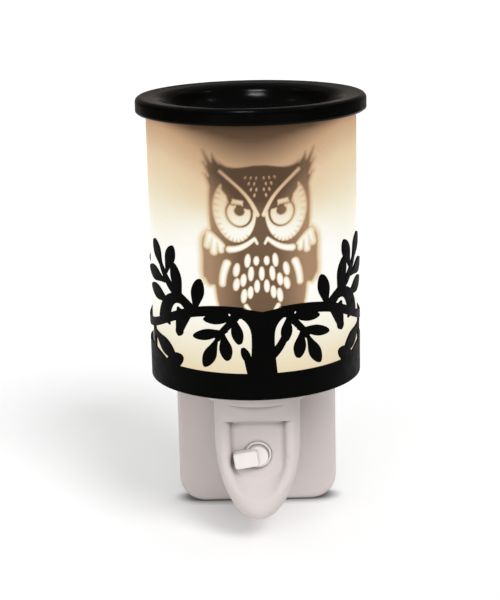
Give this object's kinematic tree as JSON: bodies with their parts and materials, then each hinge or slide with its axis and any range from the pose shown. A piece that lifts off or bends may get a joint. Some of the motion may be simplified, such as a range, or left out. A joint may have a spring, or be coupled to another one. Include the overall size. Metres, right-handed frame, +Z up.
{
  "type": "plug-in wax melt warmer",
  "caption": "Plug-in wax melt warmer: lit frosted shade in a black cut-out tree wrap with an owl stencil inside, lift-off melting dish on top, white plug base with a turning switch.",
  "frame": {"origin": "between the two plug blades, on the face of the base that meets the wall", "axes": "+Z up, +Y into the wall along the plug blades, front of the shade towards -Y"},
  "size_m": [0.0906, 0.1088, 0.1853],
  "materials": {
    "white_plastic": "satin moulded",
    "black_steel": "satin black enamel",
    "black_glaze": "satin black glaze",
    "frosted_glass": "frosted",
    "plated_steel": "nickel plated",
    "socket_plastic": "moulded phenolic",
    "brass": "drawn sheet",
    "solder": "dull",
    "cap_glass": "dark insulating glass",
    "bulb_glass": "clear",
    "filament": "glowing wire",
    "wire_cover": "insulated wire"
  },
  "bodies": {
    "base": {"rear_cover": "white_plastic", "back_plate": "white_plastic", "blade_line": "plated_steel", "blade_neutral": "plated_steel", "blade_keeper": "white_plastic", "cover_screws": "plated_steel", "housing_screws": "plated_steel", "keeper_screws": "plated_steel", "switch_screws": "plated_steel", "front_housing": "white_plastic", "switch_body": "white_plastic", "socket_sleeve": "socket_plastic", "socket_shell": "brass", "socket_contact": "brass", "socket_ring": "socket_plastic", "lead_line": "wire_cover", "lead_switched": "wire_cover", "lead_neutral": "wire_cover", "shade_floor": "black_steel", "tree_sleeve": "black_steel", "frosted_tube": "frosted_glass", "owl_panel": "black_steel", "owl_rivets": "plated_steel"},
    "dish": {"wax_dish": "black_glaze"},
    "knob": {"switch_knob": "white_plastic"},
    "bulb": {"bulb_glass": "bulb_glass", "bulb_cap": "brass", "bulb_insulator": "cap_glass", "bulb_tip": "solder", "bulb_stem": "bulb_glass", "filament_leads": "solder", "filament": "filament"}
  },
  "joints": [
    {"name": "dish_lift", "type": "slide", "parent": "base", "child": "dish", "axis": [0, 0, 1], "range_m": [0, 0.03]},
    {"name": "switch_turn", "type": "hinge", "parent": "base", "child": "knob", "pos_m": [0, -0.06, 0.0046], "axis": [0, -1, 0], "range_deg": [0, 90]},
    {"name": "bulb_turn", "type": "hinge", "parent": "base", "child": "bulb", "pos_m": [0, -0.047, 0.06], "axis": [0, 0, 1], "range_deg": [0, 1080]}
  ]
}
